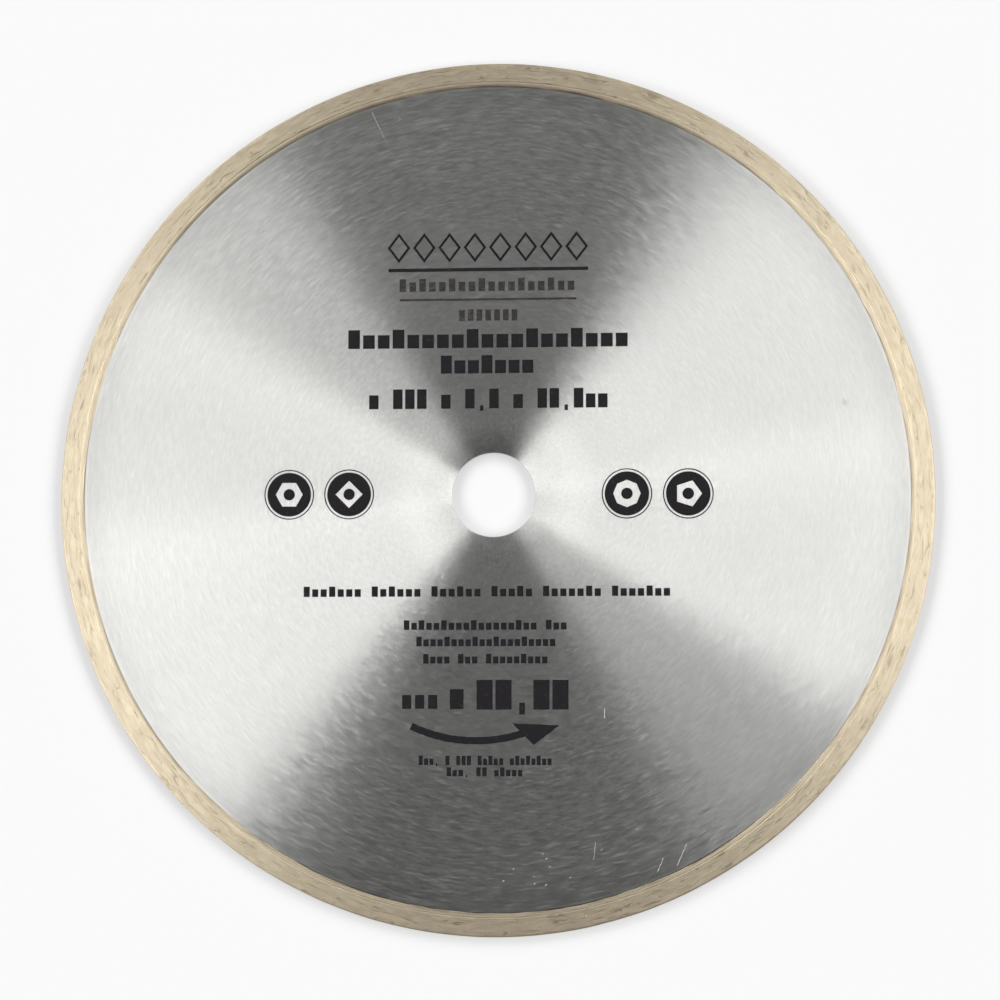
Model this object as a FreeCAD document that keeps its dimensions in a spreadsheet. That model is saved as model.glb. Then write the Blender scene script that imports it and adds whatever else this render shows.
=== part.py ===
"""Continuous-rim diamond blade for tile, 230 mm, as a parametric FreeCAD document.

Frame: the origin is the centre of the bore, halfway through the steel. +Z is the spin axis and
points out of the printed face, and +Y is the top of the print. All sizes are in millimetres.
"""
import FreeCAD, Part
import math
import os
import Sketcher

Vector = FreeCAD.Vector

SIZES = {
    # Steel blank
    "blade_diameter": 230.0,
    "bore_diameter": 22.23,
    "bore_chamfer": 0.2,
    "clamp_diameter": 41.0,         # the zone that the machine's flanges press on
    "core_diameter": 219.2,
    "core_thickness": 1.8,
    "notch_count": 60,              # round notches in the blank's edge, which key the rim to it
    "notch_radius": 0.6,
    # Sintered rim
    "rim_height": 5.0,              # radial height of the diamond layer
    "rim_thickness": 2.4,
    "rim_edge_round": 0.25,
    "foot_width": 1.2,              # radial width of the foot that shows beside the diamond layer
    "shoulder_bend_width": 0.35,    # where the shoulder turns from steep to gentle
    "shoulder_bend_height": 0.18,
    # Diamond crystals
    "crystal_size": 0.42,           # from tip to tip
    "crystal_depth": 0.06,          # from the surface to the crystal's centre
    "crystal_margin": 0.5,          # clear band beside each edge of the layer
    "face_crystals": 96,            # exposed on each side
    "edge_crystals": 48,            # exposed on the outer edge
    # Print
    "ink_thickness": 0.03,
    "comma_indent": 0.3,            # as a fraction of a block's width, and so is the next one
    "comma_width": 0.35,
    "comma_drop": 0.17,             # as a fraction of a low block's height, and so is the next one
    "comma_height": 0.4,
    "mark_left": -28.1,
    "mark_base": 61.7,
    "mark_height": 8.0,
    "mark_width": 6.0,
    "mark_pitch": 6.73,
    "mark_count": 8,
    "mark_line": 0.62,
    "heavy_rule_left": -27.9,
    "heavy_rule_base": 59.3,
    "heavy_rule_length": 52.9,
    "heavy_rule_width": 0.9,
    "light_rule_left": -24.8,
    "light_rule_base": 51.5,
    "light_rule_length": 46.7,
    "light_rule_width": 0.55,
    "badge_ring_diameter": 13.2,
    "badge_ring_line": 0.3,
    "badge_disc_diameter": 11.6,
    "badge_window_diameter": 7.2,
    "badge_dot_diameter": 3.0,
    "arrow_centre_x": -4.5,         # of the arc that the shaft follows
    "arrow_centre_y": -24.0,
    "arrow_radius": 40.3,
    "arrow_shaft_width": 1.85,
    "arrow_start_angle": -115.0,
    "arrow_end_angle": -71.5,
    "arrow_tip_x": 17.2,
    "arrow_tip_y": -60.3,
    "arrow_inner_barb_x": 5.0,
    "arrow_inner_barb_y": -59.8,
    "arrow_outer_barb_x": 10.5,
    "arrow_outer_barb_y": -65.4,
}

# Printed rows: left end, base line, pitch of the cells, width of a block, heights of a low and of a
# tall block. In the cells T is a tall block, s a low one, a comma a small one and a space a gap.
ROW_SIZES = ("left", "base", "pitch", "block", "low", "tall")
ROWS = {
    "submark_row": ((-24.9, 54.0, 2.62, 1.7, 2.5, 3.4), "TsTssTssTsssTssTss"),
    "code_row": ((-9.1, 46.1, 2.32, 1.5, 3.0, 3.0), "TTTTTTT"),
    "title_row": ((-38.5, 38.9, 3.93, 3.1, 3.6, 5.0), "TssTssssTsssTssTsss"),
    "subtitle_row": ((-13.9, 32.1, 3.58, 2.9, 3.5, 4.8), "TssTsss"),
    "size_row": ((-32.9, 22.8, 3.18, 2.5, 3.7, 5.2), "s TTT s T,T s TT,Tss"),
    "uses_row": ((-50.0, -26.7, 2.25, 1.6, 2.0, 2.7), "TssTsss TsTsss TssTss TssTs TssssTs TsssTss"),
    "notice_row_1": ((-23.5, -35.4, 1.96, 1.45, 1.8, 2.5), "TsTssTsssTsssssTss Tss"),
    "notice_row_2": ((-20.2, -39.7, 1.84, 1.4, 1.8, 2.5), "TsssTsssTssTsssTssss"),
    "notice_row_3": ((-18.4, -44.2, 1.83, 1.4, 1.8, 2.5), "Tsss Tss TssssTsss"),
    "price_word": ((-23.9, -56.0, 3.4, 2.4, 3.6, 3.6), "TTT"),
    "price_sign": ((-11.4, -56.1, 4.0, 3.6, 5.2, 5.2), "T"),
    "price_figure": ((-4.4, -56.2, 4.95, 4.2, 7.7, 7.7), "TT,TT"),
    "speed_row_1": ((-19.5, -70.6, 1.4, 1.05, 1.7, 2.4), "Tss, T TTT TsTss sTsTsTss"),
    "speed_row_2": ((-12.2, -73.5, 1.55, 1.15, 1.6, 2.3), "Tss, TT sTsss"),
}

# Badges: number, centre, and sides of the window in the disc.
BADGES = (
    (1, -54.0, 0.3, 6),
    (2, -38.1, 0.3, 4),
    (3, 35.0, 0.1, 8),
    (4, 51.0, 0.0, 5),
)

GOLDEN_ANGLE = math.pi * (3.0 - math.sqrt(5.0))
BAND_STEP = 0.7548776662            # fraction of the band between one crystal and the next

INK_LEVEL = "Sizes.core_thickness / 2"
DIAMOND_INNER = "Sizes.blade_diameter / 2 - Sizes.rim_height"
FOOT_INNER = DIAMOND_INNER + " - Sizes.foot_width"

doc = FreeCAD.newDocument("diamond_blade")
sheet = doc.addObject("Spreadsheet::Sheet", "Sizes")


def fill_sheet():
    """Give every driving size a row in the sheet: its name and its value."""
    values = dict(SIZES)
    for row_name, (row, _) in ROWS.items():
        for size_name, value in zip(ROW_SIZES, row):
            values[f"{row_name}_{size_name}"] = value
    for number, x, y, _ in BADGES:
        values[f"badge_{number}_x"] = x
        values[f"badge_{number}_y"] = y
    for line, (alias, value) in enumerate(values.items(), start=1):
        sheet.set(f"A{line}", alias)
        sheet.set(f"B{line}", str(value))
        sheet.setAlias(f"B{line}", alias)
    doc.recompute()


def bind(item, **expressions):
    """Bind properties to expressions; base_x, base_y and base_z are the parts of its place."""
    for name, expression in expressions.items():
        item.setExpression(name.replace("base_", "Placement.Base."), expression)
    return item


# ---------------------------------------------------------------------------- sketches

def new_body(label):
    body = doc.addObject("PartDesign::Body", label)
    body.Label = label
    return body


def new_sketch(body, name, role):
    plane = next(item for item in body.Origin.OriginFeatures if item.Role == role)
    sketch = body.newObject("Sketcher::SketchObject", name)
    sketch.AttachmentSupport = [(plane, "")]
    sketch.MapMode = "FlatFace"
    return sketch


def hold(sketch, kind, edge, end, expression):
    """Hold one end of an edge at a distance from the sketch's origin."""
    value = sheet.evalExpression(expression)
    index = sketch.addConstraint(Sketcher.Constraint(kind, -1, 1, edge, end, value))
    sketch.setExpression(f"Constraints[{index}]", expression)


def add_outline(sketch, corners):
    """Add a closed outline of straight edges whose corners are pairs of expressions."""
    points = [Vector(sheet.evalExpression(x), sheet.evalExpression(y), 0) for x, y in corners]
    edges = [
        sketch.addGeometry(Part.LineSegment(start, end))
        for start, end in zip(points, points[1:] + points[:1])
    ]
    for edge, following in zip(edges, edges[1:] + edges[:1]):
        sketch.addConstraint(Sketcher.Constraint("Coincident", edge, 2, following, 1))
    for edge, (x, y) in zip(edges, corners):
        hold(sketch, "DistanceX", edge, 1, x)
        hold(sketch, "DistanceY", edge, 1, y)


def add_arc(sketch, centre, radius, start_angle, end_angle):
    """Add an anticlockwise arc from numbers; its constraints come from the caller."""
    circle = Part.Circle(Vector(*centre, 0), Vector(0, 0, 1), radius)
    return sketch.addGeometry(Part.ArcOfCircle(circle, start_angle, end_angle))


def revolve(body, sketch):
    """Turn a sketch on the XZ plane about Z, keeping every edge of it as a face."""
    turned = body.newObject("PartDesign::Revolution", f"{body.Name}_turned")
    turned.Profile = sketch
    turned.ReferenceAxis = (sketch, ["V_Axis"])
    turned.Angle = 360
    turned.Refine = False
    return turned


def pad(body, sketch, length):
    raised = body.newObject("PartDesign::Pad", f"{sketch.Name}_pad")
    raised.Profile = sketch
    raised.setExpression("Length", length)
    return raised


def cut(name, base, tool):
    result = doc.addObject("Part::Cut", name)
    result.Base = base
    result.Tool = tool
    return result


# ---------------------------------------------------------------------------- steel and rim

def make_steel_core():
    """Steel blank: chamfered bore, clamping zones as faces of their own, notched edge."""
    body = new_body("steel_core")
    profile = new_sketch(body, "core_profile", "XZ_Plane")
    bore = "Sizes.bore_diameter / 2"
    chamfered = bore + " + Sizes.bore_chamfer"
    clamp = "Sizes.clamp_diameter / 2"
    edge = "Sizes.core_diameter / 2"
    top = "Sizes.core_thickness / 2"
    wall_top = top + " - Sizes.bore_chamfer"
    add_outline(profile, [
        (bore, f"-({wall_top})"),
        (chamfered, f"-{top}"),
        (clamp, f"-{top}"),
        (edge, f"-{top}"),
        (edge, top),
        (clamp, top),
        (chamfered, top),
        (bore, wall_top),
    ])
    turned = revolve(body, profile)
    doc.recompute()
    volume_before = body.Shape.Volume

    outline = new_sketch(body, "notch_outline", "XY_Plane")
    radius = sheet.get("notch_radius")
    centre = Vector(sheet.get("core_diameter") / 2, 0, 0)
    circle = outline.addGeometry(Part.Circle(centre, Vector(0, 0, 1), radius))
    outline.addConstraint(Sketcher.Constraint("PointOnObject", circle, 3, -1))
    hold(outline, "DistanceX", circle, 3, edge)
    size = outline.addConstraint(Sketcher.Constraint("Radius", circle, radius))
    outline.setExpression(f"Constraints[{size}]", "Sizes.notch_radius")
    notch = body.newObject("PartDesign::Pocket", "notch")
    notch.Profile = outline
    notch.setExpression("Length", "Sizes.core_thickness * 2")
    notch.SideType = "Symmetric"
    notch.Refine = False
    notches = body.newObject("PartDesign::PolarPattern", "notches")
    notches.Originals = [notch]
    notches.Axis = (outline, ["N_Axis"])
    notches.Angle = 360
    notches.setExpression("Occurrences", "Sizes.notch_count")
    notches.Refine = False
    body.Tip = notches
    doc.recompute()
    half_round = math.pi * radius ** 2 / 2 * sheet.get("core_thickness")
    removed = volume_before - body.Shape.Volume
    expected = half_round * sheet.get("notch_count")
    if abs(removed - expected) > 0.02 * expected:
        raise ValueError(f"the notches remove {removed:.2f} mm3, not {expected:.2f}")
    if not turned.isValid():
        raise ValueError("the blank's profile did not turn")
    return body


def make_rim_foot(core):
    """Diamond-free foot: a collar round the blank's edge, with a two-step shoulder on each face.

    It is cut by the blank itself, so its keys fill the blank's notches exactly.
    """
    body = new_body("foot_blank")
    profile = new_sketch(body, "foot_profile", "XZ_Plane")
    bend = f"{FOOT_INNER} + Sizes.shoulder_bend_width"
    core_top = "Sizes.core_thickness / 2"
    bend_top = f"{core_top} + Sizes.shoulder_bend_height"
    rim_top = "Sizes.rim_thickness / 2"
    add_outline(profile, [
        (FOOT_INNER, f"-({core_top})"),
        (bend, f"-({bend_top})"),
        (DIAMOND_INNER, f"-({rim_top})"),
        (DIAMOND_INNER, rim_top),
        (bend, bend_top),
        (FOOT_INNER, core_top),
    ])
    revolve(body, profile)
    return cut("rim_foot", body, core)


def make_rim_blank():
    """Ring of the diamond layer before its crystals, with its two outer edges rounded."""
    body = new_body("diamond_rim_blank")
    profile = new_sketch(body, "rim_profile", "XZ_Plane")
    outer = "Sizes.blade_diameter / 2"
    top = "Sizes.rim_thickness / 2"
    add_outline(profile, [
        (DIAMOND_INNER, f"-{top}"),
        (outer, f"-{top}"),
        (outer, top),
        (DIAMOND_INNER, top),
    ])
    turned = revolve(body, profile)
    doc.recompute()
    outer_radius = sheet.evalExpression(outer)
    outer_edges = [
        f"Edge{number}"
        for number, edge in enumerate(turned.Shape.Edges, start=1)
        if isinstance(edge.Curve, Part.Circle) and abs(edge.Curve.Radius - outer_radius) < 1e-6
    ]
    rounding = body.newObject("PartDesign::Fillet", "rim_edge_rounding")
    rounding.Base = (turned, outer_edges)
    rounding.setExpression("Radius", "Sizes.rim_edge_round")
    return body


def octahedron(centre, normal, turn, half_size):
    """One diamond crystal: eight faces, one tip along the normal, turned about it."""
    across = normal.cross(Vector(0, 0, 1) if abs(normal.z) < 0.5 else Vector(1, 0, 0))
    across.normalize()
    across = FreeCAD.Rotation(normal, math.degrees(turn)).multVec(across)
    beside = normal.cross(across)
    girdle = [centre + side * half_size for side in (across, beside, -across, -beside)]
    faces = []
    for tip in (centre + normal * half_size, centre - normal * half_size):
        for start, end in zip(girdle, girdle[1:] + girdle[:1]):
            faces.append(Part.Face(Part.makePolygon([start, end, tip, start])))
    solid = Part.Solid(Part.Shell(faces))
    if solid.Volume < 0:
        solid.reverse()
    return solid


def make_raw_crystals():
    """Crystals at their places in the layer, before the rim's faces are ground flush.

    Their angles step by the golden angle and their places across the band by a fixed fraction,
    so they are spread evenly and never meet.
    """
    outer = sheet.get("blade_diameter") / 2
    rim_top = sheet.get("rim_thickness") / 2
    margin = sheet.get("crystal_margin")
    depth = sheet.get("crystal_depth")
    half_size = sheet.get("crystal_size") / 2
    band_start = outer - sheet.get("rim_height") + margin
    band_width = sheet.get("rim_height") - 2 * margin
    edge_band = 2 * rim_top - 2 * sheet.get("rim_edge_round") - 2 * margin
    crystals = []
    for side in (1, -1):
        for index in range(int(sheet.get("face_crystals"))):
            angle = side * index * GOLDEN_ANGLE
            radius = band_start + band_width * (index * BAND_STEP % 1.0)
            centre = Vector(radius * math.cos(angle), radius * math.sin(angle), side * (rim_top - depth))
            crystals.append(octahedron(centre, Vector(0, 0, side), index, half_size))
    for index in range(int(sheet.get("edge_crystals"))):
        angle = index * GOLDEN_ANGLE
        outward = Vector(math.cos(angle), math.sin(angle), 0)
        height = edge_band * (index * BAND_STEP % 1.0 - 0.5)
        centre = outward * (outer - depth) + Vector(0, 0, height)
        crystals.append(octahedron(centre, outward, index, half_size))
    raw = doc.addObject("Part::Feature", "raw_crystals")
    raw.Shape = Part.Compound(crystals)
    return raw


def make_diamond_layer(blank, raw_crystals):
    """The layer with a pocket for each crystal, and the crystals ground flush with it."""
    rim = cut("diamond_rim", blank, raw_crystals)
    grit = doc.addObject("Part::Common", "diamond_grit")
    grit.Base = raw_crystals
    grit.Tool = blank
    return [rim, grit]


# ---------------------------------------------------------------------------- print

def group(label, pieces):
    """Several marks of one printed line, kept as separate solids in one sub-part."""
    compound = doc.addObject("Part::Compound", label)
    compound.Label = label
    compound.Links = pieces
    return compound


def ink_box(name, left, base, width, height):
    return bind(
        doc.addObject("Part::Box", name),
        Length=width,
        Width=height,
        Height="Sizes.ink_thickness",
        base_x=left,
        base_y=base,
        base_z=INK_LEVEL,
    )


def ink_disc(name, diameter, x, y):
    return bind(
        doc.addObject("Part::Cylinder", name),
        Radius=f"({diameter}) / 2",
        Height="Sizes.ink_thickness",
        base_x=x,
        base_y=y,
        base_z=INK_LEVEL,
    )


def row_blocks(row_name):
    """Plain blocks in the place of one printed line."""
    size = f"Sizes.{row_name}_"
    blocks = []
    for index, cell in enumerate(ROWS[row_name][1]):
        if cell == " ":
            continue
        left = f"{size}left + {index} * {size}pitch"
        base = f"{size}base"
        width = f"{size}block"
        height = f"{size}tall" if cell == "T" else f"{size}low"
        if cell == ",":
            left += f" + {width} * Sizes.comma_indent"
            base += f" - {height} * Sizes.comma_drop"
            width += " * Sizes.comma_width"
            height += " * Sizes.comma_height"
        blocks.append(ink_box(f"{row_name}_{index}", left, base, width, height))
    return blocks


def make_maker_mark():
    """A row of hollow lozenges."""
    body = new_body("print_maker_mark")
    outline = new_sketch(body, "lozenge", "XY_Plane")
    half_width = "Sizes.mark_width / 2"
    half_height = "Sizes.mark_height / 2"
    side = "sqrt(Sizes.mark_width ^ 2 + Sizes.mark_height ^ 2)"
    shrink = f"(1 - 2 * Sizes.mark_line * {side} / (Sizes.mark_width * Sizes.mark_height))"
    for scale in ("1", shrink):
        add_outline(outline, [
            (f"{half_width} + {half_width} * {scale}", half_height),
            (half_width, f"{half_height} + {half_height} * {scale}"),
            (f"{half_width} - {half_width} * {scale}", half_height),
            (half_width, f"{half_height} - {half_height} * {scale}"),
        ])
    lozenge = pad(body, outline, "Sizes.ink_thickness")
    row = body.newObject("PartDesign::LinearPattern", "lozenges")
    row.Originals = [lozenge]
    row.Direction = (outline, ["H_Axis"])
    row.Mode = "Spacing"
    row.setExpression("Offset", "Sizes.mark_pitch")
    row.setExpression("Occurrences", "Sizes.mark_count")
    body.Tip = row
    return bind(body, base_x="Sizes.mark_left", base_y="Sizes.mark_base", base_z=INK_LEVEL)


def make_rule(name):
    size = f"Sizes.{name}_"
    return ink_box(f"print_{name}", f"{size}left", f"{size}base", f"{size}length", f"{size}width")


def make_badge(number, sides):
    """A round badge: thin ring, disc with a many-sided window, and a dot in the window."""
    name = f"badge_{number}"
    place = (f"Sizes.{name}_x", f"Sizes.{name}_y")
    ring = cut(
        f"{name}_ring",
        ink_disc(f"{name}_ring_outer", "Sizes.badge_ring_diameter", *place),
        ink_disc(f"{name}_ring_inner", "Sizes.badge_ring_diameter - 2 * Sizes.badge_ring_line", *place),
    )
    window = bind(
        doc.addObject("Part::Prism", f"{name}_window"),
        Circumradius="Sizes.badge_window_diameter / 2",
        Height="Sizes.ink_thickness",
        base_x=place[0],
        base_y=place[1],
        base_z=INK_LEVEL,
    )
    window.Polygon = sides
    disc = cut(f"{name}_frame", ink_disc(f"{name}_disc", "Sizes.badge_disc_diameter", *place), window)
    dot = ink_disc(f"{name}_dot", "Sizes.badge_dot_diameter", *place)
    return group(f"print_{name}", [ring, disc, dot])


def add_shaft_outline(sketch):
    """The bent shaft: two arcs about one centre, closed by a straight edge at each end."""
    centre = (sheet.get("arrow_centre_x"), sheet.get("arrow_centre_y"))
    start = math.radians(sheet.get("arrow_start_angle"))
    end = math.radians(sheet.get("arrow_end_angle"))
    arcs = []
    for sign in ("-", "+"):
        radius = f"(Sizes.arrow_radius {sign} Sizes.arrow_shaft_width / 2)"
        arc = add_arc(sketch, centre, sheet.evalExpression(radius), start, end)
        hold(sketch, "DistanceX", arc, 3, "Sizes.arrow_centre_x")
        hold(sketch, "DistanceY", arc, 3, "Sizes.arrow_centre_y")
        hold(sketch, "DistanceX", arc, 1, f"Sizes.arrow_centre_x + {radius} * cos(Sizes.arrow_start_angle)")
        hold(sketch, "DistanceX", arc, 2, f"Sizes.arrow_centre_x + {radius} * cos(Sizes.arrow_end_angle)")
        size = sketch.addConstraint(Sketcher.Constraint("Radius", arc, sheet.evalExpression(radius)))
        sketch.setExpression(f"Constraints[{size}]", radius)
        arcs.append(arc)
    inner, outer = arcs
    for end_index in (1, 2):
        points = [sketch.getPoint(arc, end_index) for arc in arcs]
        closing = sketch.addGeometry(Part.LineSegment(*points))
        sketch.addConstraint(Sketcher.Constraint("Coincident", closing, 1, inner, end_index))
        sketch.addConstraint(Sketcher.Constraint("Coincident", closing, 2, outer, end_index))


def make_rotation_arrow():
    body = new_body("print_rotation_arrow")
    shaft = new_sketch(body, "arrow_shaft", "XY_Plane")
    add_shaft_outline(shaft)
    pad(body, shaft, "Sizes.ink_thickness")
    head = new_sketch(body, "arrow_head", "XY_Plane")
    add_outline(head, [
        (f"Sizes.arrow_{corner}_x", f"Sizes.arrow_{corner}_y")
        for corner in ("inner_barb", "outer_barb", "tip")
    ])
    pad(body, head, "Sizes.ink_thickness")
    return bind(body, base_z=INK_LEVEL)


def make_print():
    marks = [make_maker_mark(), make_rule("heavy_rule"), make_rule("light_rule"), make_rotation_arrow()]
    marks += [make_badge(number, sides) for number, _, _, sides in BADGES]
    price_rows = [name for name in ROWS if name.startswith("price")]
    marks.append(group("print_price_row", [block for name in price_rows for block in row_blocks(name)]))
    marks += [group(f"print_{name}", row_blocks(name)) for name in ROWS if name not in price_rows]
    return marks


# ---------------------------------------------------------------------------- document

def check_document(nodes):
    """Stop if anything in the document failed, because recompute() doesn't."""
    for item in doc.Objects:
        if {"Invalid", "Error"} & set(item.State):
            raise ValueError(f"{item.Label} failed: {item.State}")
    for node in nodes:
        if node.Shape.isNull() or not node.Shape.isValid() or not node.Shape.Solids:
            raise ValueError(f"{node.Label} has no valid solid")


def export(nodes):
    os.makedirs("parts", exist_ok=True)
    for node in nodes:
        node.Shape.exportStep(f"parts/{node.Label}.step")
        print(f"{node.Label}: {len(node.Shape.Solids)} solids, {node.Shape.Volume:.2f} mm3")


fill_sheet()
steel_core = make_steel_core()
rim_foot = make_rim_foot(steel_core)
diamond_layer = make_diamond_layer(make_rim_blank(), make_raw_crystals())
sub_parts = [steel_core, rim_foot] + diamond_layer + make_print()
doc.recompute()
check_document(sub_parts)
export(sub_parts)
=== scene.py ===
"""Diamond blade: the looks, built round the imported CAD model. Metres, in the CAD frame."""

import math

import bpy
import numpy as np
from mathutils import Matrix, Vector


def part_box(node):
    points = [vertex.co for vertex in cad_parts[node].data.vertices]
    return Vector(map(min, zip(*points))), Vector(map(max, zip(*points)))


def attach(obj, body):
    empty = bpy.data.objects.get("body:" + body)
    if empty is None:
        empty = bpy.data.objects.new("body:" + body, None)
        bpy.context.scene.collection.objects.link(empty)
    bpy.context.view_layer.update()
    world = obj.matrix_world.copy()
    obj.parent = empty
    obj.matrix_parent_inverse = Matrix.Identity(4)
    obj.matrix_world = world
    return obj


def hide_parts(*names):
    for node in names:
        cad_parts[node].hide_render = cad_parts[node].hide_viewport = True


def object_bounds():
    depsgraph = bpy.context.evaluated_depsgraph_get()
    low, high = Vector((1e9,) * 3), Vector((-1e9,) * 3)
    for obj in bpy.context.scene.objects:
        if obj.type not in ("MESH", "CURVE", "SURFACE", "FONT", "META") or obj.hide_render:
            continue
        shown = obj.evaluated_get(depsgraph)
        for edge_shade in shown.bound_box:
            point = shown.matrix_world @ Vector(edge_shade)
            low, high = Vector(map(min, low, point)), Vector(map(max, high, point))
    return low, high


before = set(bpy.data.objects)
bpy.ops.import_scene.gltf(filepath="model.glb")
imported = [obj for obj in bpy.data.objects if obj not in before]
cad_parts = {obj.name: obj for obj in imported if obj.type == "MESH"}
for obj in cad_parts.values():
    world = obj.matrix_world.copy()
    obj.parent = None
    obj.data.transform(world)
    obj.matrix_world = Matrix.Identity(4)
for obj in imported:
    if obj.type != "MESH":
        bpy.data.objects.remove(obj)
cad_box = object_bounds()

MM = 0.001
BODY = "root"

# Sizes of the blade that the CAD boxes give
CORE_RADIUS = min(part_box("steel_core")[1][:2])
CORE_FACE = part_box("steel_core")[1][2]
RIM_RADIUS = min(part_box("diamond_rim")[1][:2])
RIM_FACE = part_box("diamond_rim")[1][2]
BORE_RADIUS = 22.23 * MM / 2
BORE_CHAMFER = 0.2 * MM
RIM_HEIGHT = 5.0 * MM
FOOT_WIDTH = 1.2 * MM
RIM_INNER = RIM_RADIUS - RIM_HEIGHT
FOOT_INNER = RIM_INNER - FOOT_WIDTH


# ------------------------------------------------------------------ node helpers

class Nodes:
    """Short calls for building a node tree."""

    def __init__(self, tree):
        self.tree = tree

    def new(self, kind, **settings):
        node = self.tree.nodes.new(kind)
        for name, value in settings.items():
            setattr(node, name, value)
        return node

    def put(self, socket, value):
        """Links an output to a socket, or sets the socket's own value."""
        if isinstance(value, bpy.types.NodeSocket):
            self.tree.links.new(value, socket)
        else:
            socket.default_value = value

    def math(self, operation, *values, clamp=False):
        node = self.new("ShaderNodeMath", operation=operation, use_clamp=clamp)
        for socket, value in zip(node.inputs, values):
            self.put(socket, value)
        return node.outputs[0]

    def vector(self, operation, *values):
        node = self.new("ShaderNodeVectorMath", operation=operation)
        for socket, value in zip(node.inputs, values):
            self.put(socket, value)
        return node.outputs["Value" if operation in ("LENGTH", "DOT_PRODUCT") else "Vector"]

    def scaled(self, vector, factor):
        node = self.new("ShaderNodeVectorMath", operation="SCALE")
        self.put(node.inputs[0], vector)
        self.put(node.inputs["Scale"], factor)
        return node.outputs[0]

    def split(self, vector):
        node = self.new("ShaderNodeSeparateXYZ")
        self.put(node.inputs[0], vector)
        return node.outputs

    def join(self, x, y, z):
        node = self.new("ShaderNodeCombineXYZ")
        for socket, value in zip(node.inputs, (x, y, z)):
            self.put(socket, value)
        return node.outputs[0]

    def spread(self, value, low, high, to_low=0.0, to_high=1.0, smooth=True):
        """Maps low..high to to_low..to_high, and holds the ends."""
        node = self.new("ShaderNodeMapRange")
        node.interpolation_type = "SMOOTHSTEP" if smooth else "LINEAR"
        for index, item in enumerate((value, low, high, to_low, to_high)):
            self.put(node.inputs[index], item)
        return node.outputs[0]

    def noise(self, vector, scale=1.0, detail=2.0, roughness=0.5):
        node = self.new("ShaderNodeTexNoise")
        settings = {"Vector": vector, "Scale": scale, "Detail": detail, "Roughness": roughness}
        for name, value in settings.items():
            self.put(node.inputs[name], value)
        return node.outputs["Fac"]

    def mix(self, factor, low, high):
        """Blends two colours."""
        node = self.new("ShaderNodeMix", data_type="RGBA")
        self.put(node.inputs["Factor"], factor)
        self.put(node.inputs[6], low)
        self.put(node.inputs[7], high)
        return node.outputs[2]

    def bump(self, height, distance, strength=1.0):
        node = self.new("ShaderNodeBump")
        self.put(node.inputs["Height"], height)
        self.put(node.inputs["Distance"], distance)
        self.put(node.inputs["Strength"], strength)
        return node.outputs[0]

    def place(self):
        """The point in the blade's own frame, in metres."""
        return self.new("ShaderNodeTexCoord").outputs["Object"]

    def attribute(self, name):
        return self.new("ShaderNodeAttribute", attribute_name=name).outputs["Fac"]

    def round_axis(self, point, centre, cells_round, cell_width):
        """Noise coordinates that run in circles about a centre with no seam.

        A cell of unit noise is 1 / cells_round of a radian long and cell_width metres wide.
        """
        x, y, z = self.split(self.vector("SUBTRACT", point, centre))
        radius = self.vector("LENGTH", self.join(x, y, 0.0))
        across = self.math("DIVIDE", self.math("ADD", radius, self.math("MULTIPLY", z, 20.0)), cell_width)
        turn = self.math("DIVIDE", cells_round, radius)
        return self.join(self.math("MULTIPLY", x, turn), self.math("MULTIPLY", y, turn), across)

    def radius(self, point):
        x, y, _ = self.split(point)
        return self.vector("LENGTH", self.join(x, y, 0.0))


def new_material(name):
    """A material, its nodes and its shader."""
    material = bpy.data.materials.new(name)
    material.use_nodes = True
    nodes = Nodes(material.node_tree)
    return material, nodes, material.node_tree.nodes["Principled BSDF"]


def turned_tangent(n):
    """The direction in which the face was ground: round the shaft."""
    return n.new("ShaderNodeTangent", direction_type="RADIAL", axis="Z").outputs[0]


# ------------------------------------------------------------------ camera, floor and light

CAMERA_PLACE = Vector((0.05246, -0.06164, 0.7045))
CAMERA_TARGET = Vector((0.00167, -0.00135, 0.0))
CAMERA_LENS = 97.2


def make_camera():
    data = bpy.data.cameras.new("camera")
    data.lens = CAMERA_LENS
    data.sensor_width = 36.0
    data.clip_start = 0.01
    camera = bpy.data.objects.new("camera", data)
    bpy.context.collection.objects.link(camera)
    back = (CAMERA_PLACE - CAMERA_TARGET).normalized()
    right = Vector((0, 1, 0)).cross(back).normalized()
    up = back.cross(right)
    axes = Matrix((right, up, back)).transposed().to_4x4()
    camera.matrix_world = Matrix.Translation(CAMERA_PLACE) @ axes
    bpy.context.scene.camera = camera


FLOOR_HALF = 12.0
FLOOR_GAP = 0.4 * MM        # the blade's clearance above the floor
FLOOR_GREY = 0.31
FLOOR_GLOW = 0.405


def make_floor():
    z = cad_box[0][2] - FLOOR_GAP
    corners = [(x * FLOOR_HALF, y * FLOOR_HALF, z) for x, y in ((-1, -1), (1, -1), (1, 1), (-1, 1))]
    mesh = bpy.data.meshes.new("floor")
    mesh.from_pydata(corners, [], [(0, 1, 2, 3)])
    floor = bpy.data.objects.new("floor", mesh)
    bpy.context.collection.objects.link(floor)
    material, _, shader = new_material("floor")
    shader.inputs["Base Color"].default_value = (FLOOR_GREY, FLOOR_GREY, FLOOR_GREY * 1.01, 1)
    shader.inputs["Roughness"].default_value = 0.9
    shader.inputs["Specular IOR Level"].default_value = 0.1
    shader.inputs["Emission Color"].default_value = (1, 1, 1, 1)
    shader.inputs["Emission Strength"].default_value = FLOOR_GLOW
    mesh.materials.append(material)


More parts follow.
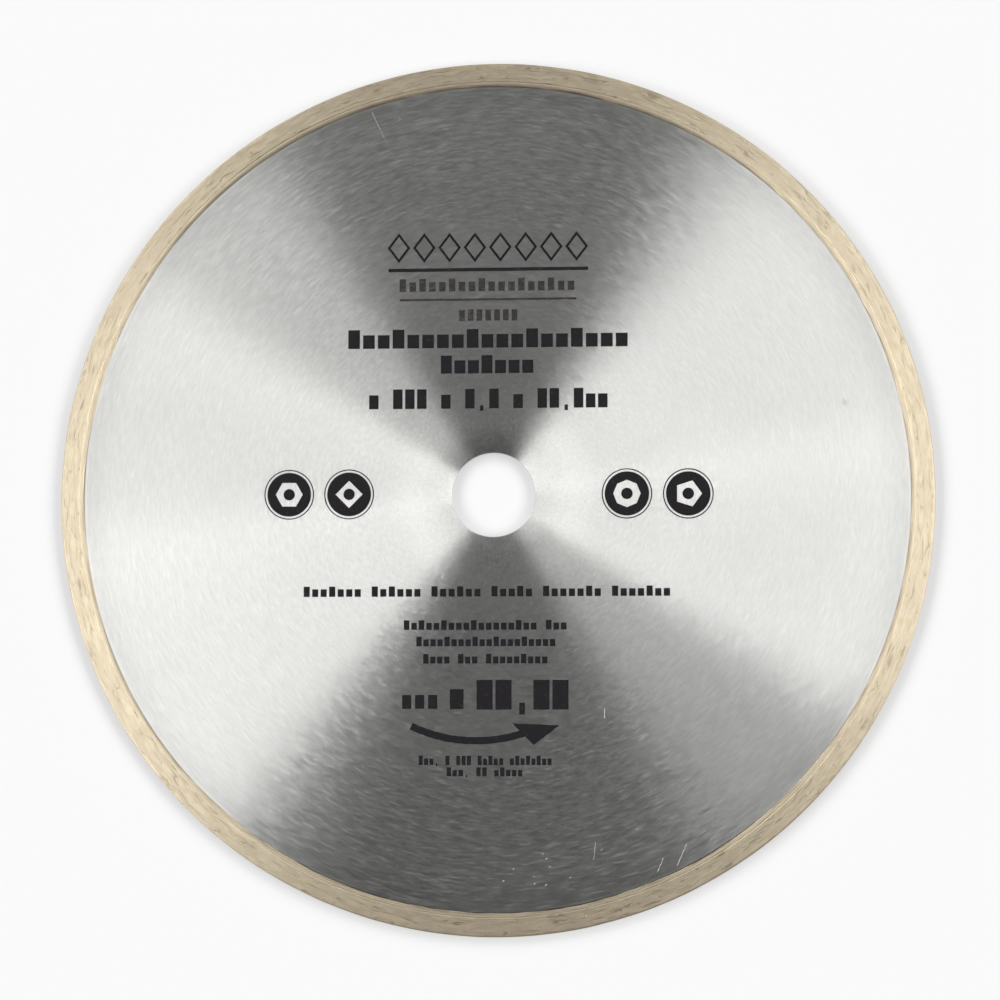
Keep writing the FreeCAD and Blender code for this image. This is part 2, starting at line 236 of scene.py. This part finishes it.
# Plain studio round the blade, anticlockwise: the azimuth in degrees from +X at which each light
# starts, and its strength. Every start is softened by the same angle to each side.
LIGHTS = (
    (-30, 10.0),        # softbox at the right
    (17, 6.0),          # softbox behind it
    (68, 1.7),          # pale wall at the back
    (124, 7.0),         # softbox at the left, behind
    (154, 5.5),         # wall beside it
    (178, 9.5),         # softbox at the left
    (224, 0.0),         # dark room in front
)
SOFT_EDGE = 4.0
DARK_MIDDLE = -90       # an azimuth inside the dark, where the ramp begins and ends
BRIGHTEST = max(strength for _, strength in LIGHTS)
LIGHT_BOTTOM = (22.0, 26.0)     # elevations in degrees between which the lights begin, and end
LIGHT_TOP = (46.0, 50.0)
BACKDROP = 0.93                 # how bright the room looks to the camera


def light_round(n, azimuth):
    """The lights by azimuth, as a ramp that begins and ends in the dark."""
    turned = n.math("FLOORED_MODULO", n.math("SUBTRACT", azimuth, DARK_MIDDLE), 360.0)
    node = n.new("ShaderNodeValToRGB")
    n.put(node.inputs[0], n.math("DIVIDE", turned, 360.0))
    ramp = node.color_ramp
    ramp.interpolation = "EASE"
    before = 0.0
    for start, strength in LIGHTS:
        for edge, level in ((start - SOFT_EDGE, before), (start + SOFT_EDGE, strength)):
            grey = level / BRIGHTEST
            ramp.elements.new((edge - DARK_MIDDLE) / 360.0).color = (grey, grey, grey, 1)
        before = strength
    ramp.elements[0].color = ramp.elements[-1].color = (0, 0, 0, 1)
    return n.math("MULTIPLY", node.outputs[0], BRIGHTEST)


def make_world():
    world = bpy.data.worlds.new("studio")
    world.use_nodes = True
    tree = world.node_tree
    n = Nodes(tree)
    x, y, z = n.split(n.new("ShaderNodeTexCoord").outputs["Generated"])
    azimuth = n.math("MULTIPLY", n.math("ARCTAN2", y, x), 180 / math.pi)
    elevation = n.math("MULTIPLY", n.math("ARCSINE", z), 180 / math.pi)
    above = n.spread(elevation, *LIGHT_BOTTOM)
    below = n.spread(elevation, *LIGHT_TOP, 1.0, 0.0)
    strength = n.math("MULTIPLY", light_round(n, azimuth), n.math("MULTIPLY", above, below))
    light = tree.nodes["Background"]
    light.inputs["Color"].default_value = (1, 1, 1, 1)
    n.put(light.inputs["Strength"], strength)
    backdrop = n.new("ShaderNodeBackground")
    backdrop.inputs["Color"].default_value = (1, 1, 1, 1)
    backdrop.inputs["Strength"].default_value = BACKDROP
    seen = n.new("ShaderNodeMixShader")
    n.put(seen.inputs[0], n.new("ShaderNodeLightPath").outputs["Is Camera Ray"])
    n.put(seen.inputs[1], light.outputs[0])
    n.put(seen.inputs[2], backdrop.outputs[0])
    n.put(tree.nodes["World Output"].inputs["Surface"], seen.outputs[0])
    bpy.context.scene.world = world
    bpy.context.scene.view_settings.view_transform = "Standard"


# ------------------------------------------------------------------ steel

# The longest scratches on the front face: from x, y to x, y, and width, all in mm
SCRATCHES = (
    (-32.5, 102.5, -29.0, 95.0, 0.08),
    (-29.0, 95.0, -26.0, 88.5, 0.04),
    (29.0, -56.0, 29.0, -58.5, 0.12),
    (26.5, -90.5, 26.0, -95.0, 0.08),
    (44.0, -94.5, 42.5, -98.0, 0.1),
    (50.0, -91.0, 47.5, -96.5, 0.1),
)
SPECK_SEED = 3
SPECK_COUNT = 22
SPECK_ANGLES = (97, 281)        # the middles of the two groups, and their scatter, in degrees
SPECK_SCATTER = 10
SPECK_RADIUS = (84, 104)
SPECK_WIDTH = (0.15, 0.34)
SCRATCH_SEED = 7
SCRATCH_COUNT = 12
SCRATCH_RADIUS = (30, 104)
SCRATCH_LENGTH = (1.0, 4.0)
SCRATCH_WIDTH = 0.05


def random_specks():
    """Small knocks at random, in two groups near the rim, above and below the bore."""
    random = np.random.default_rng(SPECK_SEED)
    for _ in range(SPECK_COUNT):
        angle = math.radians(random.choice(SPECK_ANGLES) + random.normal(0, SPECK_SCATTER))
        radius = random.uniform(*SPECK_RADIUS)
        width = random.uniform(*SPECK_WIDTH)
        x, y = radius * math.cos(angle), radius * math.sin(angle)
        yield x, y, x + random.uniform(0.1, 0.4), y + random.uniform(0.0, 0.2), width


def random_scratches():
    """Fine handling scratches, at random on the front face."""
    random = np.random.default_rng(SCRATCH_SEED)
    for _ in range(SCRATCH_COUNT):
        angle = random.uniform(0, 2 * math.pi)
        radius = random.uniform(*SCRATCH_RADIUS)
        heading = angle + random.uniform(0.5, 2.6)
        length = random.uniform(*SCRATCH_LENGTH)
        x, y = radius * math.cos(angle), radius * math.sin(angle)
        yield x, y, x + length * math.cos(heading), y + length * math.sin(heading), SCRATCH_WIDTH


STEEL = (0.72, 0.72, 0.70, 1)
# Grinding passes: the centre they run about in mm, cells per radian and cell width in mm
PASSES = (
    ((0.0, 0.0), 27.0, 0.75),
    ((9.0, -5.0), 23.0, 0.85),
    ((-7.0, 8.0), 20.0, 1.0),
)
SMUDGE = (91.7, 23.6, 1.3)      # x, y and radius in mm


def ground_steel():
    """Steel with a circular grind: streaks, a faint halo at the rim, knocks and scratches."""
    material, n, shader = new_material("ground_steel")
    point = n.place()
    radius = n.radius(point)
    streaks = []
    for (x, y), cells_round, width in PASSES:
        axis = n.round_axis(point, (x * MM, y * MM, 0.0), cells_round, width * MM)
        streaks.append(n.noise(axis, 1.0, 2.0, 0.55))
    fine = n.noise(n.round_axis(point, (0, 0, 0), 60.0, 0.12 * MM), 1.0, 1.0, 0.5)
    lines = n.noise(n.round_axis(point, (2 * MM, 1 * MM, 0), 25.0, 0.46 * MM), 1.0, 1.0, 0.5)
    lines = n.spread(lines, 0.54, 0.72)
    cloud = n.noise(point, 28.0, 3.0, 0.5)

    # Streaks lie a few degrees off the circle, so they are light or dark at the edge of a reflection
    skew = n.math("SUBTRACT", streaks[1], streaks[2])
    turn = n.math("MULTIPLY_ADD", skew, 0.022, 0.25)
    n.put(shader.inputs["Anisotropic Rotation"], turn)

    total = n.math("ADD", n.math("ADD", streaks[0], streaks[1]), streaks[2])
    shade = n.spread(total, 1.2, 1.8, 0.91, 1.06, False)
    shade = n.math("MULTIPLY", shade, n.spread(fine, 0.3, 0.7, 0.98, 1.02, False))
    shade = n.math("MULTIPLY_ADD", lines, 0.09, shade)
    shade = n.math("MULTIPLY", shade, n.spread(cloud, 0.3, 0.7, 0.975, 1.02, False))
    halo = n.spread(radius, RIM_INNER - 10 * MM, RIM_INNER - 2.4 * MM, 1.0, 0.91)
    shade = n.math("MULTIPLY", shade, halo)
    # Painted shade: the steel is darkened towards the bore, to tone down the highlight there
    shade = n.math("MULTIPLY", shade, n.spread(radius, BORE_RADIUS, 2.4 * BORE_RADIUS, 0.76, 1.0))
    smudge_x, smudge_y, smudge_size = (v * MM for v in SMUDGE)
    from_smudge = n.vector("LENGTH", n.vector("SUBTRACT", point, (smudge_x, smudge_y, CORE_FACE)))
    shade = n.math("MULTIPLY", shade, n.spread(from_smudge, 0.2 * smudge_size, smudge_size, 0.78, 1.0))
    colour = n.scaled(STEEL[:3], shade)

    # A thin warm light line just inside the foot, broken up along its length
    warm_line = n.math("MULTIPLY",
                   n.spread(radius, FOOT_INNER - 0.75 * MM, FOOT_INNER - 0.55 * MM),
                   n.spread(radius, FOOT_INNER - 0.45 * MM, FOOT_INNER - 0.25 * MM, 1.0, 0.0))
    broken = n.noise(n.round_axis(point, (0, 0, 0), 9.0, 1.0), 1.0, 2.0)
    warm_line = n.math("MULTIPLY", warm_line, n.spread(broken, 0.35, 0.6, 0.1, 0.6))
    colour = n.mix(warm_line, colour, (0.86, 0.82, 0.70, 1))
    # Painted shadow: a dark line on the steel right against the foot, where its step throws shade
    step_shadow = n.spread(radius, FOOT_INNER - 0.25 * MM, FOOT_INNER, 0.0, 0.75)
    colour = n.mix(step_shadow, colour, (0.16, 0.13, 0.10, 1))

    n.put(shader.inputs["Base Color"], colour)
    scatter = n.spread(total, 1.2, 1.9, 1.0, 0.95, False)
    n.put(shader.inputs["Metallic"], n.math("MULTIPLY_ADD", lines, -0.045, scatter))
    rough = n.spread(total, 1.2, 1.8, 0.35, 0.31, False)
    worn = n.spread(radius, BORE_RADIUS, 2.6 * BORE_RADIUS, 0.10, 0.0)
    n.put(shader.inputs["Roughness"], n.math("ADD", rough, worn))
    shader.inputs["Anisotropic"].default_value = 1.0
    n.put(shader.inputs["Tangent"], turned_tangent(n))
    height = n.math("MULTIPLY_ADD", streaks[0], 0.5, fine)
    n.put(shader.inputs["Normal"], n.bump(height, 0.004 * MM, 1.0))
    return material


def raised_steel():
    """Bare steel thrown up by a knock: bright, and with no grind direction."""
    material, n, shader = new_material("raised_steel")
    point = n.place()
    colour = n.mix(n.noise(point, 2600.0), (0.46, 0.46, 0.45, 1), (0.66, 0.66, 0.65, 1))
    n.put(shader.inputs["Base Color"], colour)
    shader.inputs["Metallic"].default_value = 0.35
    n.put(shader.inputs["Roughness"], n.spread(n.noise(point, 5200.0), 0.3, 0.7, 0.35, 0.55))
    return material


# ------------------------------------------------------------------ bond metal and diamond

BOND_LIGHT = (0.61, 0.53, 0.39, 1)
BOND_MID = (0.53, 0.45, 0.315, 1)
BOND_DARK = (0.16, 0.12, 0.075, 1)
BOND_ROSE = (0.54, 0.46, 0.345, 1)


def bond_metal(name, streak_contrast, seam):
    """Sintered bronze bond: tan and half matt, with streaks round the rim and dark pits.

    streak_contrast is how dark its darkest streaks are, and seam how dark its edge against the steel is: a
    dark seam, and painted shade on the steep shoulder there.
    """
    material, n, shader = new_material(name)
    point = n.place()
    radius = n.radius(point)
    streaks = n.noise(n.round_axis(point, (0, 0, 0), 24.0, 0.55 * MM), 1.0, 2.0, 0.55)
    dark_streaks = n.noise(n.round_axis(point, (1 * MM, 0, 0), 18.0, 0.38 * MM), 1.0, 2.0, 0.55)
    grain = n.noise(point, 3800.0, 2.0, 0.6)
    patches = n.noise(n.round_axis(point, (0, 0, 0), 14.0, 2.2 * MM), 1.0, 2.0, 0.5)
    colour = n.mix(n.spread(streaks, 0.38, 0.60), BOND_MID, BOND_LIGHT)
    colour = n.mix(n.math("MULTIPLY", n.spread(patches, 0.46, 0.62), 0.7), colour, BOND_ROSE)
    streaked = n.math("MULTIPLY", n.spread(dark_streaks, 0.54, 0.70), streak_contrast)
    colour = n.mix(streaked, colour, BOND_DARK)
    colour = n.mix(n.math("MULTIPLY", n.attribute("depth"), 0.55), colour, BOND_DARK)
    # Partly a dark seam, partly painted shade: a dark band on the steep shoulder next to the steel, broken
    # up by noise
    broken = n.noise(n.round_axis(point, (0, 0, 0), 12.0, 1.0), 1.0, 3.0)
    edge = n.math("MULTIPLY", n.spread(radius, FOOT_INNER + 0.3 * MM, FOOT_INNER + 0.75 * MM, seam, 0.0),
                  n.spread(broken, 0.36, 0.6, 0.45, 1.0))
    colour = n.mix(edge, colour, BOND_DARK)
    # Painted shade: the rounded outer edge is darkened, to tone down its highlight
    edge_shade = n.spread(radius, RIM_RADIUS - 0.6 * MM, RIM_RADIUS - 0.1 * MM, 0.0, 0.4)
    colour = n.mix(edge_shade, colour, BOND_DARK)
    colour = n.scaled(colour, n.spread(grain, 0.3, 0.7, 0.95, 1.05, False))
    n.put(shader.inputs["Base Color"], colour)
    shader.inputs["Metallic"].default_value = 0.82
    shader.inputs["IOR"].default_value = 2.0
    n.put(shader.inputs["Roughness"], n.spread(grain, 0.3, 0.7, 0.46, 0.56, False))
    shader.inputs["Anisotropic"].default_value = 0.75
    shader.inputs["Anisotropic Rotation"].default_value = 0.25
    n.put(shader.inputs["Tangent"], turned_tangent(n))
    height = n.math("ADD", n.math("MULTIPLY", streaks, 1.5), n.math("MULTIPLY", grain, 0.4))
    n.put(shader.inputs["Normal"], n.bump(height, 0.015 * MM, 0.6))
    return material


def diamond_crystal():
    """Synthetic diamond grit: pale yellow-green and glossy, some of it clouded."""
    material, n, shader = new_material("diamond_crystal")
    point = n.place()
    batch = n.spread(n.noise(point, 900.0, 1.0), 0.4, 0.6)
    colour = n.mix(batch, (0.62, 0.58, 0.40, 1), (0.90, 0.88, 0.78, 1))
    n.put(shader.inputs["Base Color"], colour)
    n.put(shader.inputs["Roughness"], n.spread(n.noise(point, 5000.0, 2.0), 0.3, 0.7, 0.12, 0.4))
    shader.inputs["IOR"].default_value = 2.42
    return material


# ------------------------------------------------------------------ ink

def printed_ink(name, colour, bare, cover):
    """Screen print on ground steel: matt, with the grind and pinholes showing through."""
    material, n, shader = new_material(name)
    point = n.place()
    streaks = n.noise(n.round_axis(point, (0, 0, 0), 34.0, 0.34 * MM), 1.0, 2.0, 0.55)
    pinholes = n.noise(point, 3000.0, 2.0, 0.6)
    thin = n.spread(n.math("ADD", streaks, pinholes), cover, cover + 0.25)
    n.put(shader.inputs["Base Color"], n.mix(thin, colour, bare))
    n.put(shader.inputs["Roughness"], n.spread(pinholes, 0.3, 0.7, 0.62, 0.8))
    shader.inputs["Specular IOR Level"].default_value = 0.05
    n.put(shader.inputs["Normal"], n.bump(n.math("ADD", streaks, pinholes), 0.006 * MM, 0.6))
    return material


# ------------------------------------------------------------------ ring meshes

def smooth_random(shape, columns, rows, seed):
    """A random height over a ring's grid, smoothed over so many columns and rows, with no seam. Spread 1."""
    raw = np.random.default_rng(seed).standard_normal(shape)
    along = np.fft.fftfreq(shape[0])[:, None] * columns
    across = np.fft.fftfreq(shape[1])[None, :] * rows
    keep = np.exp(-2 * (math.pi ** 2) * (along ** 2 + across ** 2))
    smooth = np.fft.ifft2(np.fft.fft2(raw) * keep).real
    smooth -= smooth.mean()
    return smooth / smooth.std()


def ring_object(name, radius, height, material, depth=None, sharp=None):
    """A closed ring from two grids, turns by profile points, of each vertex's radius and height."""
    turns, rows = radius.shape
    angle = np.linspace(0, 2 * math.pi, turns, endpoint=False)[:, None]
    points = np.stack([radius * np.cos(angle), radius * np.sin(angle), height], axis=-1)
    i = np.arange(turns)[:, None] + np.zeros((1, rows), int)
    j = np.arange(rows)[None, :] + np.zeros((turns, 1), int)
    ahead, along = (i + 1) % turns, (j + 1) % rows
    faces = np.stack([i * rows + j, i * rows + along, ahead * rows + along, ahead * rows + j], axis=-1)
    mesh = bpy.data.meshes.new(name)
    mesh.from_pydata(points.reshape(-1, 3).tolist(), [], faces.reshape(-1, 4).tolist())
    mesh.materials.append(material)
    mesh.shade_smooth()
    if sharp is not None:
        mesh.set_sharp_from_angle(angle=math.radians(sharp))
    if depth is not None:
        layer = mesh.attributes.new("depth", "FLOAT", "POINT")
        layer.data.foreach_set("value", depth.astype(np.float32).ravel())
    ring = bpy.data.objects.new(name, mesh)
    bpy.context.collection.objects.link(ring)
    return ring


def outward(profile):
    """The outward normal at each point of a closed (radius, height) profile that runs clockwise."""
    tangent = np.roll(profile, -1, axis=0) - np.roll(profile, 1, axis=0)
    tangent /= np.linalg.norm(tangent, axis=1)[:, None]
    return np.stack([-tangent[:, 1], tangent[:, 0]], axis=1)


def mirrored(top):
    """A whole closed profile from the half above the middle plane, given from the inside outwards."""
    return np.array(top + [(r, -z) for r, z in reversed(top)])


CORE_TURNS = 720
CORE_RINGS = 16


def make_core(material):
    """The steel blank: a flat plate with a chamfered bore."""
    inner = BORE_RADIUS + BORE_CHAMFER
    outer = CORE_RADIUS - 0.02 * MM
    top = [(BORE_RADIUS, 0.0), (BORE_RADIUS, CORE_FACE - BORE_CHAMFER)]
    top += [(BORE_RADIUS + 0.25 * BORE_CHAMFER, CORE_FACE - 0.55 * BORE_CHAMFER)]
    top += [(BORE_RADIUS + 0.6 * BORE_CHAMFER, CORE_FACE - 0.2 * BORE_CHAMFER)]
    top += [(inner + (outer - inner) * k / CORE_RINGS, CORE_FACE) for k in range(CORE_RINGS + 1)]
    top += [(outer, 0.3 * CORE_FACE)]
    profile = mirrored(top[1:])
    grid = np.ones((CORE_TURNS, 1))
    core = ring_object("core_plate", grid * profile[:, 0], grid * profile[:, 1], material, sharp=50)
    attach(core, BODY)
    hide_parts("steel_core")


MARK_SIDES = 12
MARK_RISE = 0.02 * MM
MARK_SUNK = 0.01 * MM


def make_marks(material):
    """Every knock and scratch as a low burr, half sunk in the face: a long mound with a crest."""
    points, faces = [], []
    for x0, y0, x1, y1, width in (*SCRATCHES, *random_specks(), *random_scratches()):
        start, end = Vector((x0 * MM, y0 * MM, 0)), Vector((x1 * MM, y1 * MM, 0))
        run = (end - start).normalized()
        side = Vector((-run.y, run.x, 0))
        first = len(points)
        for k in range(MARK_SIDES):
            turn = 2 * math.pi * (k + 0.5) / MARK_SIDES
            centre = end if math.cos(turn) > 0 else start
            reach = (run * math.cos(turn) + side * math.sin(turn)) * width * MM / 2
            points.append(centre + reach + Vector((0, 0, CORE_FACE - MARK_SUNK)))
        crest_start, crest_end = first + MARK_SIDES, first + MARK_SIDES + 1
        rise = Vector((0, 0, CORE_FACE + min(MARK_RISE, 0.2 * width * MM)))
        points += [start + rise, end + rise]
        for k in range(MARK_SIDES):
            after = (k + 1) % MARK_SIDES
            ends = [crest_end if math.cos(2 * math.pi * (m + 0.5) / MARK_SIDES) > 0 else crest_start
                    for m in (k, after)]
            face = [first + k, first + after, ends[1]]
            faces.append(face if ends[0] == ends[1] else face + [ends[0]])
        faces.append([first + k for k in reversed(range(MARK_SIDES))])
    mesh = bpy.data.meshes.new("face_marks")
    mesh.from_pydata([tuple(p) for p in points], [], faces)
    mesh.materials.append(material)
    marks = bpy.data.objects.new("face_marks", mesh)
    bpy.context.collection.objects.link(marks)
    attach(marks, BODY)


FOOT_TURNS = 1440
FOOT_STEPS = 9


def make_foot(material):
    """The foot: laps both faces of the blank with a rounded, uneven shoulder."""
    sunk = 0.08 * MM
    top_face = RIM_FACE - 0.02 * MM
    bottom = CORE_FACE - sunk
    top = [(CORE_RADIUS - 0.5 * MM, bottom)]
    top += [(FOOT_INNER, bottom)]
    for k in range(FOOT_STEPS + 1):
        turn = 0.5 * math.pi * k / FOOT_STEPS
        top.append((RIM_INNER - FOOT_WIDTH * math.cos(turn), bottom + (top_face - bottom) * math.sin(turn)))
    top += [(RIM_INNER, 0.5 * top_face)]
    # The closed C runs from the blank's edge, over the lap and down the outer wall
    profile = mirrored(top)
    shape = (FOOT_TURNS, len(profile))
    grid = np.ones((FOOT_TURNS, 1))
    radius, height = grid * profile[:, 0], grid * profile[:, 1]
    lap = np.clip((RIM_INNER - radius) / FOOT_WIDTH, 0, 1)
    edge = smooth_random(shape, 10, 40, 11) * 0.07 * MM + smooth_random(shape, 2.5, 40, 12) * 0.05 * MM
    radius = radius + lap ** 2 * np.clip(edge, -0.15 * MM, 0.2 * MM)
    dents = np.abs(smooth_random(shape, 3, 1, 13)) * 0.012 * MM
    shown = (np.abs(height) > CORE_FACE) & (radius < RIM_INNER - 0.01 * MM)
    height = np.where(shown, height - np.sign(height) * dents, height)
    foot = ring_object("foot_collar", radius, height, material, depth=np.zeros(shape))
    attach(foot, BODY)
    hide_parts("rim_foot")


RIM_TURNS = 2200
FACE_STEPS = 13
CORNER_STEPS = 4
EDGE_STEPS = 5
EDGE_ROUND = 0.45 * MM
SURFACE_WEAR = 0.03 * MM
PIT_COUNT = 200
PIT_SEED = 21
PIT_SIZE = (0.2 * MM, 0.5 * MM)
PIT_DEPTH = (0.03 * MM, 0.10 * MM)
PIT_REACH = 6               # columns of the grid that a pit can reach to each side


def rim_profile():
    """The diamond layer's section, clockwise from the inside of the front face."""
    flat_end = RIM_RADIUS - EDGE_ROUND
    top = [(RIM_INNER, 0.0)]
    top += [(RIM_INNER + (flat_end - RIM_INNER) * k / FACE_STEPS, RIM_FACE) for k in range(FACE_STEPS)]
    for k in range(CORNER_STEPS + 1):
        turn = 0.5 * math.pi * k / CORNER_STEPS
        top.append((flat_end + EDGE_ROUND * math.sin(turn), RIM_FACE - EDGE_ROUND * (1 - math.cos(turn))))
    lowest = RIM_FACE - EDGE_ROUND
    top += [(RIM_RADIUS, lowest * (1 - k / EDGE_STEPS)) for k in range(1, EDGE_STEPS)]
    return mirrored(top[1:])


def add_pits(points, sunk):
    """Round pits where grit has broken out. Returns how deep each vertex lies in one, from 0 to 1."""
    random = np.random.default_rng(PIT_SEED)
    turns, rows = points.shape[:2]
    depth = np.zeros((turns, rows))
    for _ in range(PIT_COUNT):
        turn, row = random.integers(turns), random.integers(rows)
        size = random.uniform(*PIT_SIZE)
        deep = random.uniform(*PIT_DEPTH)
        stretch = random.uniform(1.0, 1.9)
        near = np.arange(turn - PIT_REACH, turn + PIT_REACH + 1) % turns
        gap = points[near] - points[turn, row]
        along = np.array([-math.sin(2 * math.pi * turn / turns), math.cos(2 * math.pi * turn / turns), 0])
        run = gap @ along
        distance = np.sqrt(np.maximum((gap ** 2).sum(-1) - run ** 2 * (1 - 1 / stretch ** 2), 0)) / size
        hollow = np.clip(1 - distance ** 2, 0, 1) ** 1.5
        sunk[near] = np.minimum(sunk[near], -deep * hollow + np.minimum(sunk[near], 0) * (1 - hollow))
        depth[near] = np.maximum(depth[near], hollow * random.uniform(0.25, 0.95))
    return depth


def make_rim(material):
    """The diamond layer: streaked, worn and pitted on both faces and the cutting edge."""
    profile = rim_profile()
    normal = outward(profile)
    grid = np.ones((RIM_TURNS, 1))
    shape = (RIM_TURNS, len(profile))
    radius, height = grid * profile[:, 0], grid * profile[:, 1]
    grooves = smooth_random(shape, 7, 0.8, 31) * 0.012 * MM
    grain = smooth_random(shape, 2, 0.7, 32) * 0.006 * MM
    waves = smooth_random(shape, 16, 3, 33) * 0.012 * MM
    sunk = np.minimum(-SURFACE_WEAR + grooves + grain + waves, 0)
    angle = np.linspace(0, 2 * math.pi, RIM_TURNS, endpoint=False)[:, None]
    points = np.stack([radius * np.cos(angle), radius * np.sin(angle), height], axis=-1)
    depth = add_pits(points, sunk)
    worn = radius > RIM_INNER + 0.01 * MM
    sunk = np.where(worn, sunk, np.minimum(sunk * 0.3, 0))
    rim = ring_object("diamond_layer", radius + sunk * normal[:, 0], height + sunk * normal[:, 1],
                      material, depth=depth)
    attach(rim, BODY)
    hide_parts("diamond_rim")


# ------------------------------------------------------------------ exposed crystals

CRYSTAL_SEED = 41
CRYSTALS_PER_FACE = 800
CRYSTALS_ON_EDGE = 600
CRYSTAL_SIZE = (0.09 * MM, 0.20 * MM)


def crystal_corners():
    """The twelve corners of a cuboctahedron, and its triangles and squares."""
    corners = [(a, b, 0) for a in (-1, 1) for b in (-1, 1)]
    corners += [(a, 0, b) for a in (-1, 1) for b in (-1, 1)]
    corners += [(0, a, b) for a in (-1, 1) for b in (-1, 1)]
    corners = np.array(corners, float) / math.sqrt(2)
    directions = [Vector(d) for d in ((1, 0, 0), (-1, 0, 0), (0, 1, 0), (0, -1, 0), (0, 0, 1), (0, 0, -1))]
    directions += [Vector((a, b, c)).normalized() for a in (-1, 1) for b in (-1, 1) for c in (-1, 1)]
    faces = []
    for direction in directions:
        reach = corners @ np.array(direction)
        members = [k for k in range(len(corners)) if reach[k] > reach.max() - 0.01]
        side = direction.orthogonal().normalized()
        other = direction.cross(side)
        members.sort(key=lambda k: math.atan2(corners[k] @ np.array(other), corners[k] @ np.array(side)))
        faces.append(members)
    return corners, faces


def make_crystals(material):
    """Diamonds that stand in the bond, each a small crystal turned at random."""
    random = np.random.default_rng(CRYSTAL_SEED)
    corners, faces = crystal_corners()
    points, polygons = [], []

    def add(centre, size):
        spin = random.standard_normal(4)
        w, x, y, z = spin / np.linalg.norm(spin)
        turn = np.array([
            [1 - 2 * (y * y + z * z), 2 * (x * y - z * w), 2 * (x * z + y * w)],
            [2 * (x * y + z * w), 1 - 2 * (x * x + z * z), 2 * (y * z - x * w)],
            [2 * (x * z - y * w), 2 * (y * z + x * w), 1 - 2 * (x * x + y * y)]])
        squeeze = random.uniform(0.75, 1.0, 3)
        first = len(points)
        points.extend((corners * squeeze * size @ turn.T + centre).tolist())
        polygons.extend([[first + k for k in face] for face in faces])

    for side in (1, -1):
        for _ in range(CRYSTALS_PER_FACE):
            angle = random.uniform(0, 2 * math.pi)
            radius = random.uniform(RIM_INNER + 0.3 * MM, RIM_RADIUS - EDGE_ROUND)
            size = random.uniform(*CRYSTAL_SIZE)
            z = RIM_FACE - size * random.uniform(1.0, 1.35)
            add((radius * math.cos(angle), radius * math.sin(angle), side * z), size)
    for _ in range(CRYSTALS_ON_EDGE):
        angle = random.uniform(0, 2 * math.pi)
        size = random.uniform(*CRYSTAL_SIZE)
        radius = RIM_RADIUS - size * random.uniform(1.0, 1.35)
        z = random.uniform(-1, 1) * (RIM_FACE - EDGE_ROUND)
        add((radius * math.cos(angle), radius * math.sin(angle), z), size)
    mesh = bpy.data.meshes.new("exposed_diamonds")
    mesh.from_pydata(points, [], polygons)
    mesh.materials.append(material)
    crystals = bpy.data.objects.new("exposed_diamonds", mesh)
    bpy.context.collection.objects.link(crystals)
    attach(crystals, BODY)
    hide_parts("diamond_grit")


# ------------------------------------------------------------------ the printed face

THIN_PRINT = ("print_submark_row", "print_light_rule", "print_code_row")
# Each ink: its colour, its colour where it is worn thin, and how much of it covers
BLACK_INK = ((0.010, 0.009, 0.010, 1), (0.06, 0.06, 0.06, 1), 1.18)
THIN_INK = ((0.022, 0.020, 0.019, 1), (0.075, 0.075, 0.07, 1), 1.04)


def dress_print():
    """Ink on every printed node, thinner on the light rows."""
    black = printed_ink("black_ink", *BLACK_INK)
    thin = printed_ink("thin_ink", *THIN_INK)
    for name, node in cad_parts.items():
        if name.startswith("print_"):
            for slot in node.material_slots:
                slot.material = thin if name in THIN_PRINT else black


# ------------------------------------------------------------------ build

make_camera()
make_floor()
make_world()
make_core(ground_steel())
make_marks(raised_steel())
make_foot(bond_metal("foot_bronze", streak_contrast=0.3, seam=0.55))
make_rim(bond_metal("diamond_bond", streak_contrast=0.5, seam=0.0))
make_crystals(diamond_crystal())
dress_print()
